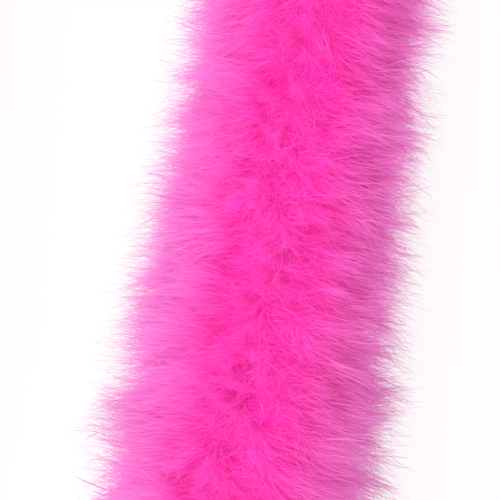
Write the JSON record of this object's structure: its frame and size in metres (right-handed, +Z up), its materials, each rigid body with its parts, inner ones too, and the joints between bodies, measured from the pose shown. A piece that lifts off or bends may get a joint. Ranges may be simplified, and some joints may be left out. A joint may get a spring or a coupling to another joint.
{
  "type": "feather boa",
  "caption": "Long soft marabou boa: dyed down plumes bound with thread round a twisted cotton cord, knotted at its ends and laid in flat folds that open out.",
  "frame": {"origin": "on the surface the boa lies on, under the middle of the middle fold", "axes": "+Y along the middle fold, +Z up, +X across the folds towards the end b side"},
  "size_m": [0.5182, 0.7082, 0.112],
  "materials": {
    "dyed_down": "matte",
    "dyed_quill": "satin",
    "cotton_cord": "matte",
    "sewing_thread": "matte"
  },
  "bodies": {
    "middle": {"core_cord_middle": "cotton_cord", "quills_middle": "dyed_quill", "thread_turns_middle": "sewing_thread", "plumes_middle": "dyed_down"},
    "a_bend_1": {"core_cord_a_bend_1": "cotton_cord", "quills_a_bend_1": "dyed_quill", "thread_turns_a_bend_1": "sewing_thread", "plumes_a_bend_1": "dyed_down"},
    "a_bend_2": {"core_cord_a_bend_2": "cotton_cord", "quills_a_bend_2": "dyed_quill", "thread_turns_a_bend_2": "sewing_thread", "plumes_a_bend_2": "dyed_down"},
    "a_bend_3": {"core_cord_a_bend_3": "cotton_cord", "quills_a_bend_3": "dyed_quill", "thread_turns_a_bend_3": "sewing_thread", "plumes_a_bend_3": "dyed_down"},
    "a_fold": {"core_cord_a_fold": "cotton_cord", "quills_a_fold": "dyed_quill", "thread_turns_a_fold": "sewing_thread", "plumes_a_fold": "dyed_down"},
    "a_end": {"core_cord_a_end": "cotton_cord", "quills_a_end": "dyed_quill", "thread_turns_a_end": "sewing_thread", "plumes_a_end": "dyed_down", "whipping_a": "sewing_thread", "knot_a": "cotton_cord"},
    "b_bend_1": {"core_cord_b_bend_1": "cotton_cord", "quills_b_bend_1": "dyed_quill", "thread_turns_b_bend_1": "sewing_thread", "plumes_b_bend_1": "dyed_down"},
    "b_bend_2": {"core_cord_b_bend_2": "cotton_cord", "quills_b_bend_2": "dyed_quill", "thread_turns_b_bend_2": "sewing_thread", "plumes_b_bend_2": "dyed_down"},
    "b_bend_3": {"core_cord_b_bend_3": "cotton_cord", "quills_b_bend_3": "dyed_quill", "thread_turns_b_bend_3": "sewing_thread", "plumes_b_bend_3": "dyed_down"},
    "b_fold": {"core_cord_b_fold": "cotton_cord", "quills_b_fold": "dyed_quill", "thread_turns_b_fold": "sewing_thread", "plumes_b_fold": "dyed_down"},
    "b_end": {"core_cord_b_end": "cotton_cord", "quills_b_end": "dyed_quill", "thread_turns_b_end": "sewing_thread", "plumes_b_end": "dyed_down", "whipping_b": "sewing_thread", "knot_b": "cotton_cord"}
  },
  "joints": [
    {"name": "a_turn_start_bend", "type": "hinge", "parent": "middle", "child": "a_bend_1", "pos_m": [0, 0.195, 0.052], "axis": [0, 0, -1], "range_deg": [0, 45]},
    {"name": "a_turn_near_bend", "type": "hinge", "parent": "a_bend_1", "child": "a_bend_2", "pos_m": [-0.05, 0.2816, 0.052], "axis": [0, 0, -1], "range_deg": [0, 45]},
    {"name": "a_turn_far_bend", "type": "hinge", "parent": "a_bend_2", "child": "a_bend_3", "pos_m": [-0.15, 0.2816, 0.052], "axis": [0, 0, -1], "range_deg": [0, 45]},
    {"name": "a_turn_end_bend", "type": "hinge", "parent": "a_bend_3", "child": "a_fold", "pos_m": [-0.2, 0.195, 0.052], "axis": [0, 0, -1], "range_deg": [0, 45]},
    {"name": "a_fold_middle_bend", "type": "hinge", "parent": "a_fold", "child": "a_end", "pos_m": [-0.2, 0, 0.052], "axis": [0, 0, -1], "range_deg": [-10, 45]},
    {"name": "b_turn_start_bend", "type": "hinge", "parent": "middle", "child": "b_bend_1", "pos_m": [0, -0.195, 0.052], "axis": [0, 0, -1], "range_deg": [0, 45]},
    {"name": "b_turn_near_bend", "type": "hinge", "parent": "b_bend_1", "child": "b_bend_2", "pos_m": [0.05, -0.2816, 0.052], "axis": [0, 0, -1], "range_deg": [0, 45]},
    {"name": "b_turn_far_bend", "type": "hinge", "parent": "b_bend_2", "child": "b_bend_3", "pos_m": [0.15, -0.2816, 0.052], "axis": [0, 0, -1], "range_deg": [0, 45]},
    {"name": "b_turn_end_bend", "type": "hinge", "parent": "b_bend_3", "child": "b_fold", "pos_m": [0.2, -0.195, 0.052], "axis": [0, 0, -1], "range_deg": [0, 45]},
    {"name": "b_fold_middle_bend", "type": "hinge", "parent": "b_fold", "child": "b_end", "pos_m": [0.2, 0, 0.052], "axis": [0, 0, -1], "range_deg": [-10, 45]}
  ]
}
